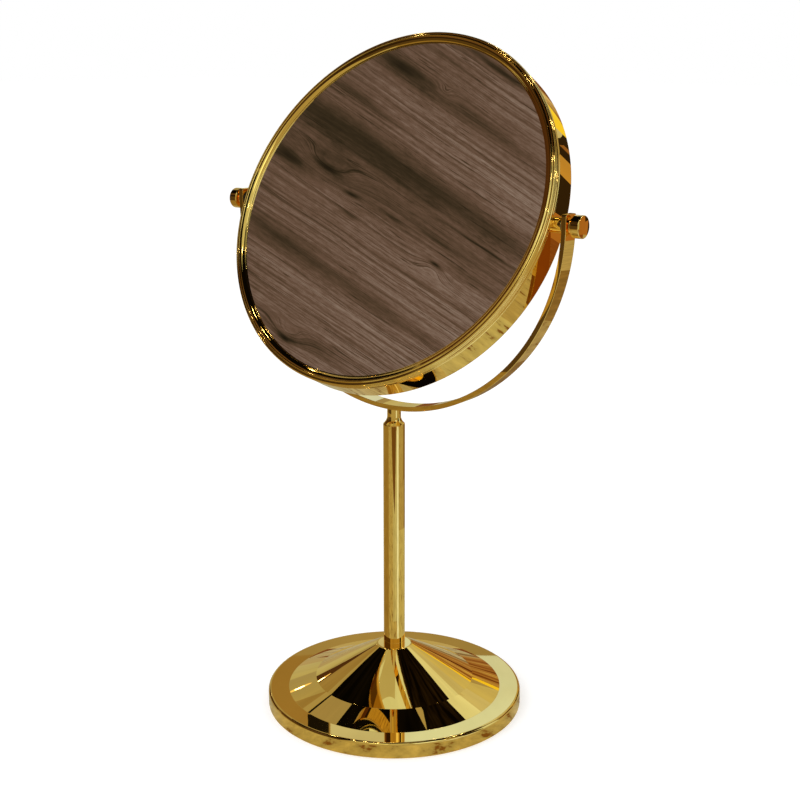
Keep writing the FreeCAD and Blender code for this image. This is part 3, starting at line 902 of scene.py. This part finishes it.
# azimuths from the camera's own, radii in metres, tone, flecks or none
floorPanels = {
    "floorRight": ((45, 170), (0.80, 2.1), (0.47, 0.43, 0.30), None),
    "floorRust": ((92, 108.5), (0.45, 2.1), (0.24, 0.085, 0.025), None),
    "floorFar": ((108.5, 170), (0.43, 0.80), (0.27, 0.19, 0.09), None),
    "floorMiddle": ((45, 108.5), (0.30, 0.80), (0.46, 0.42, 0.28), fleck),
    "floorClose": ((108.5, 138), (0.30, 0.43), (0.40, 0.35, 0.23), fleck),
    "floorBehind": ((138, 170), (0.27, 0.43), (0.24, 0.17, 0.085), fleck),
    "floorPale": ((45, 150), (0.09, 0.30), (0.55, 0.57, 0.44), fleck),
    "floorSoft": ((-14, 8), (0.12, 0.60), (0.53, 0.56, 0.49), None),
    "floorGlow": ((8, 30), (0.12, 0.60), (0.58, 0.64, 0.62), None),
    "floorBright": ((30, 48), (0.09, 2.1), (0.90, 1.12, 1.7), None),
    "floorLeft": ((-135, -60), (0.09, 2.1), (0.32, 0.24, 0.10), None),
}
for index, (panelName, (azimuths, radii, tone, spots)) in enumerate(floorPanels.items()):
    panelTone = mottledCard(panelName, tone, 0.16, 40.0, spots)
    lift = studio["patchLift"] + studio["patchStep"] * index
    floorPatch(panelName, fromCamera(azimuths), radii, lift, panelTone)

# Dark wedge with its point towards the stand
floorWedge = {
    "azimuths": (-28, 22),
    "nearAzimuths": (3, 5),
    "radii": (0.34, 0.62),
    "height": 0.002,
    "tone": (0.17, 0.09, 0.03),
}
wedgeTone = mottledCard("floorShade", floorWedge["tone"], 0.16, 40.0)
floorPatch("floorShade", fromCamera(floorWedge["azimuths"]), floorWedge["radii"], floorWedge["height"],
           wedgeTone, nearAzimuths=fromCamera(floorWedge["nearAzimuths"]))
spotTone = mottledCard("ceilingSpot", (0.42, 0.38, 0.27), 0.06, 2.0)
floorPatch("ceilingSpot", fromCamera((154.6, 159)), (0.90, 0.985), ceiling - 0.02, spotTone)

# Streaked brown card, square to the line of sight after the front mirror has turned it
brownCard = {
    "away": 1.6,
    "reach": (0.40, 0.40, 0.36),  # to each side, down and up
    "grainLean": -34.0,         # lean of the streaks in the mirror, degrees
    "bend": 0.010,
    "paler": 0.65,              # how fast the card grows paler along the streaks
    "streak": (0.40, 32.0),     # stretch of the streaks along and across
    "broadLight": (0.85, 1.12),
    "streakLight": (0.50, 1.30),
    "speckleLight": (0.84, 1.16),
    # dark lines: noise scale, level of the noise that they follow, light left on them, half width
    "lines": ((3.1, 0.47, 0.30, 0.010), (7.3, 0.52, 0.55, 0.014)),
    "mottle": (14, 60, 1),      # stretch of the mottling that breaks up the smears
    "oval": (0.245, 0.31),      # half sizes of the lit part, dark outside it
    "ovalEdge": (1.1, 1.6),
    "shade": 0.12,
    "fullLight": 1.52,          # light that takes the palest tone
    # tones from the darkest streak to the palest
    "stops": (
        (0.0, (0.010, 0.007, 0.0035)),
        (0.16, (0.042, 0.0265, 0.0125)),
        (0.36, (0.095, 0.054, 0.030)),
        (0.54, (0.140, 0.079, 0.049)),
        (0.71, (0.190, 0.117, 0.080)),
        (1.0, (0.270, 0.185, 0.135)),
    ),
    # knots that push the streaks aside: along, across, half length, half width, push
    "knots": (
        (-0.125, 0.000, 0.060, 0.020, 0.026),
        (-0.030, 0.212, 0.020, 0.010, 0.011),
        (0.120, -0.045, 0.030, 0.012, -0.013),
        (-0.025, -0.276, 0.035, 0.016, 0.018),
    ),
    # dark smears: along, across, half length, half width, depth
    "smears": (
        (0.000, 0.066, 0.450, 0.030, 0.76),
        (-0.160, 0.070, 0.120, 0.030, 0.35),
        (-0.050, 0.045, 0.200, 0.006, 0.55),
        (0.170, 0.032, 0.090, 0.003, 0.85),
        (0.050, 0.000, 0.400, 0.036, 0.42),
        (-0.190, -0.022, 0.050, 0.018, 0.86),
        (-0.125, 0.022, 0.036, 0.011, 0.90),
        (-0.065, -0.012, 0.020, 0.005, 0.90),
        (0.015, -0.010, 0.030, 0.004, 0.60),
        (0.105, -0.002, 0.050, 0.003, 0.70),
        (0.190, -0.022, 0.060, 0.010, 0.45),
        (0.120, -0.043, 0.016, 0.007, 0.92),
        (-0.050, -0.048, 0.020, 0.005, 0.50),
        (-0.110, 0.207, 0.075, 0.020, 0.88),
        (0.040, 0.206, 0.140, 0.020, 0.55),
        (-0.150, 0.127, 0.070, 0.009, 0.60),
        (-0.050, 0.262, 0.090, 0.010, 0.40),
        (0.030, 0.294, 0.080, 0.008, 0.80),
        (-0.120, -0.150, 0.100, 0.020, 0.58),
        (0.050, -0.150, 0.160, 0.016, 0.45),
        (-0.025, -0.274, 0.018, 0.011, 0.94),
        (0.000, -0.268, 0.100, 0.013, 0.50),
    ),
}


def mathNode(tree, operation, *values):
    node = addNode(tree, "ShaderNodeMath", operation=operation)
    for index, value in enumerate(values):
        if isinstance(value, (int, float)):
            node.inputs[index].default_value = value
        else:
            tree.links.new(value, node.inputs[index])
    return node.outputs[0]


def bell(tree, along, line, spot, ragged=1.0):
    # exp(-(a^2 + b^2)) with a and b the distances from a spot along and across, over its half sizes.
    first = mathNode(tree, "MULTIPLY", mathNode(tree, "SUBTRACT", along, spot[0]), 1 / spot[2])
    second = mathNode(tree, "MULTIPLY", mathNode(tree, "SUBTRACT", line, spot[1]), 1 / spot[3])
    far = mathNode(tree, "MULTIPLY_ADD", first, first, mathNode(tree, "MULTIPLY", second, second))
    fall = mathNode(tree, "MULTIPLY", mathNode(tree, "MULTIPLY", far, ragged), -1.0)
    return mathNode(tree, "EXPONENT", fall)


def makeStreaks(look):
    # Streak line = place across the card, with slow bends and a bell-shaped push at every knot. Streaks,
    # thin dark lines and dark smears all follow that line. The light grows along the streaks and falls off
    # outside an oval.
    finish, tree, glow = glowFinish("streakedCard")
    split = addNode(tree, "ShaderNodeSeparateXYZ")
    tree.links.new(objectPoints(tree), split.inputs[0])
    along, across = split.outputs["X"], split.outputs["Y"]
    bend = mathNode(tree, "SUBTRACT", noise(tree, objectPoints(tree, (1.6, 5.0, 1)), 2.4, 2.0), 0.5)
    line = mathNode(tree, "MULTIPLY_ADD", bend, look["bend"], across)
    for knot in look["knots"]:
        line = mathNode(tree, "MULTIPLY_ADD", bell(tree, along, across, knot), knot[4], line)

    stretched = addNode(tree, "ShaderNodeCombineXYZ")
    tree.links.new(mathNode(tree, "MULTIPLY", along, look["streak"][0]), stretched.inputs["X"])
    tree.links.new(mathNode(tree, "MULTIPLY", line, look["streak"][1]), stretched.inputs["Y"])
    streaks = noise(tree, stretched.outputs[0], 5.0, 9.0, 0.70)
    broad = noise(tree, stretched.outputs[0], 0.55, 2.0)
    speckle = noise(tree, objectPoints(tree, (0.25, 1, 1)), 260.0, 2.0, 0.6)

    light = mathNode(tree, "MULTIPLY_ADD", along, look["paler"], 1.0)
    light = mathNode(tree, "MULTIPLY", light, spread(tree, broad, *look["broadLight"]))
    light = mathNode(tree, "MULTIPLY", light, spread(tree, streaks, *look["streakLight"], 0.35, 0.60))
    for scale, level, kept, width in look["lines"]:
        lines = noise(tree, stretched.outputs[0], scale, 3.0, 0.5)
        gap = mathNode(tree, "ABSOLUTE", mathNode(tree, "SUBTRACT", lines, level))
        light = mathNode(tree, "MULTIPLY", light, spread(tree, gap, kept, 1.0, 0.0, width))
    light = mathNode(tree, "MULTIPLY", light, spread(tree, speckle, *look["speckleLight"]))
    mottle = noise(tree, objectPoints(tree, look["mottle"]), 1.0, 5.0, 0.65)
    ragged = mathNode(tree, "MULTIPLY", spread(tree, streaks, 2.2, 0.35), spread(tree, mottle, 0.45, 1.7))
    for smear in look["smears"]:
        kept = mathNode(tree, "MULTIPLY_ADD", bell(tree, along, line, smear, ragged), -smear[4], 1.0)
        light = mathNode(tree, "MULTIPLY", light, kept)
    alongFar = mathNode(tree, "DIVIDE", along, look["oval"][0])
    acrossFar = mathNode(tree, "DIVIDE", across, look["oval"][1])
    far = mathNode(tree, "MULTIPLY_ADD", alongFar, alongFar, mathNode(tree, "MULTIPLY", acrossFar, acrossFar))
    light = mathNode(tree, "MULTIPLY", light, spread(tree, far, 1.0, look["shade"], *look["ovalEdge"]))
    share = mathNode(tree, "DIVIDE", light, look["fullLight"])
    tree.links.new(tones(tree, share, *look["stops"]), glow.inputs["Color"])
    return finish


mirrorNormal = headTurn @ Vector((0, 0, 1))
toHead = (Vector(pivot) - camera.location).normalized()
bounced = toHead.reflect(mirrorNormal)
across = toHead.cross(Vector((0, 0, 1))).normalized()
upright = across.cross(toHead)
lean = math.radians(brownCard["grainLean"])
grain = (across * math.cos(lean) + upright * math.sin(lean)).reflect(mirrorNormal)
crossGrain = (upright * math.cos(lean) - across * math.sin(lean)).reflect(mirrorNormal)
sideways = bounced.cross(Vector((0, 0, 1))).normalized()
over = sideways.cross(bounced)
side, below, above = brownCard["reach"]
cardPlaces = ((-side, -below), (side, -below), (side, above), (-side, above))
cardCorners = [sideways * x + over * y for x, y in cardPlaces]
cardPoints = [(corner.dot(grain), corner.dot(crossGrain), 0) for corner in cardCorners]
card = stageObject("streakedCard", cardPoints, squareFace, makeStreaks(brownCard), True)
placing = Matrix((grain, crossGrain, bounced)).transposed().to_4x4()
placing.translation = Vector(pivot) + bounced * brownCard["away"]
card.matrix_world = placing

# Rows of small lamps that only polished edges catch
baseLamps = {
    # azimuth from the camera's own, elevation, how many in a row
    "spots": ((-152.5, 17.7, 1), (-145.8, 15.7, 1)),
    "apart": 3.6,             # degrees between lamps
    "away": 1.1,
    "sides": 12,
    "radius": 0.008,
    "strength": 14.0,
    "haloRadius": 0.019,
    "haloStrength": 1.3,
    "haloTone": (1.0, 0.80, 0.42),
    "haloBehind": 0.004,
}
bezelLamps = dict(
    baseLamps,
    spots=((-18, 50, 1), (-26, 62, 2), (-70, 74, 3), (57, 44, 3), (88, 57, 3), (133, 56, 2), (163, 50, 3),
           (-139, 57.7, 3), (-92, 70, 3)),
    radius=0.012,
    strength=28.0,
    haloRadius=0.030,
    haloStrength=2.2,
)


def makeLamps(name, look):
    # Small discs that face the stand, in a level row at each spot, each with a dimmer disc behind it.
    finish, tree, glow = glowFinish(name)
    glow.inputs["Strength"].default_value = look["strength"]
    halo, tree, glow = glowFinish(f"{name}Halo")
    glow.inputs["Strength"].default_value = look["haloStrength"]
    glow.inputs["Color"].default_value = (*look["haloTone"], 1)
    corner = np.radians(np.arange(look["sides"]) * 360 / look["sides"])
    disc = [list(range(look["sides"]))]
    for spot, (azimuth, elevation, count) in enumerate(look["spots"]):
        for index in range(count):
            turn = view["azimuth"] + azimuth + (index - (count - 1) / 2) * look["apart"]
            rise = math.radians(elevation)
            outward = polar(turn, math.cos(rise), math.sin(rise))
            level = outward.cross(Vector((0, 0, 1))).normalized()
            over = level.cross(outward)
            middle = np.array(outward * look["away"]) + np.array([0, 0, studio["aim"]])
            ring = np.cos(corner)[:, None] * np.array(level) + np.sin(corner)[:, None] * np.array(over)
            stageObject(f"{name}{spot}{index}", middle + look["radius"] * ring, disc, finish, True)
            behind = middle + look["haloBehind"] * np.array(outward)
            stageObject(f"{name}Halo{spot}{index}", behind + look["haloRadius"] * ring, disc, halo, True)


makeLamps("baseLamp", baseLamps)
makeLamps("bezelLamp", bezelLamps)

# World and key light
world = bpy.data.worlds.new("paleWorld")
world.use_nodes = True
bpy.context.scene.world = world
worldTree = world.node_tree
worldTree.nodes.clear()
direct = addNode(worldTree, "ShaderNodeBackground", color=(1, 1, 1, 1), strength=1.0)
around = addNode(worldTree, "ShaderNodeBackground", color=(1, 1, 1, 1), strength=studio["ambient"])
choose = worldTree.nodes.new("ShaderNodeMixShader")
worldOut = worldTree.nodes.new("ShaderNodeOutputWorld")
worldTree.links.new(seenDirectly(worldTree), choose.inputs[0])
worldTree.links.new(around.outputs[0], choose.inputs[1])
worldTree.links.new(direct.outputs[0], choose.inputs[2])
worldTree.links.new(choose.outputs[0], worldOut.inputs["Surface"])

key = bpy.data.objects.new("keyLight", bpy.data.lights.new("keyLight", "AREA"))
key.data.energy = studio["keyPower"]
key.data.size = studio["keySize"]
keyAzimuth, keyDistance, keyHeight = studio["keyPlace"]
key.location = polar(view["azimuth"] + keyAzimuth, keyDistance, keyHeight)
key.rotation_mode = "QUATERNION"
key.rotation_quaternion = (Vector((0, 0, studio["aim"])) - key.location).to_track_quat("-Z", "Y")
key.visible_glossy = False
bpy.context.scene.collection.objects.link(key)
bpy.context.scene.view_settings.view_transform = "Standard"
print("stage made")
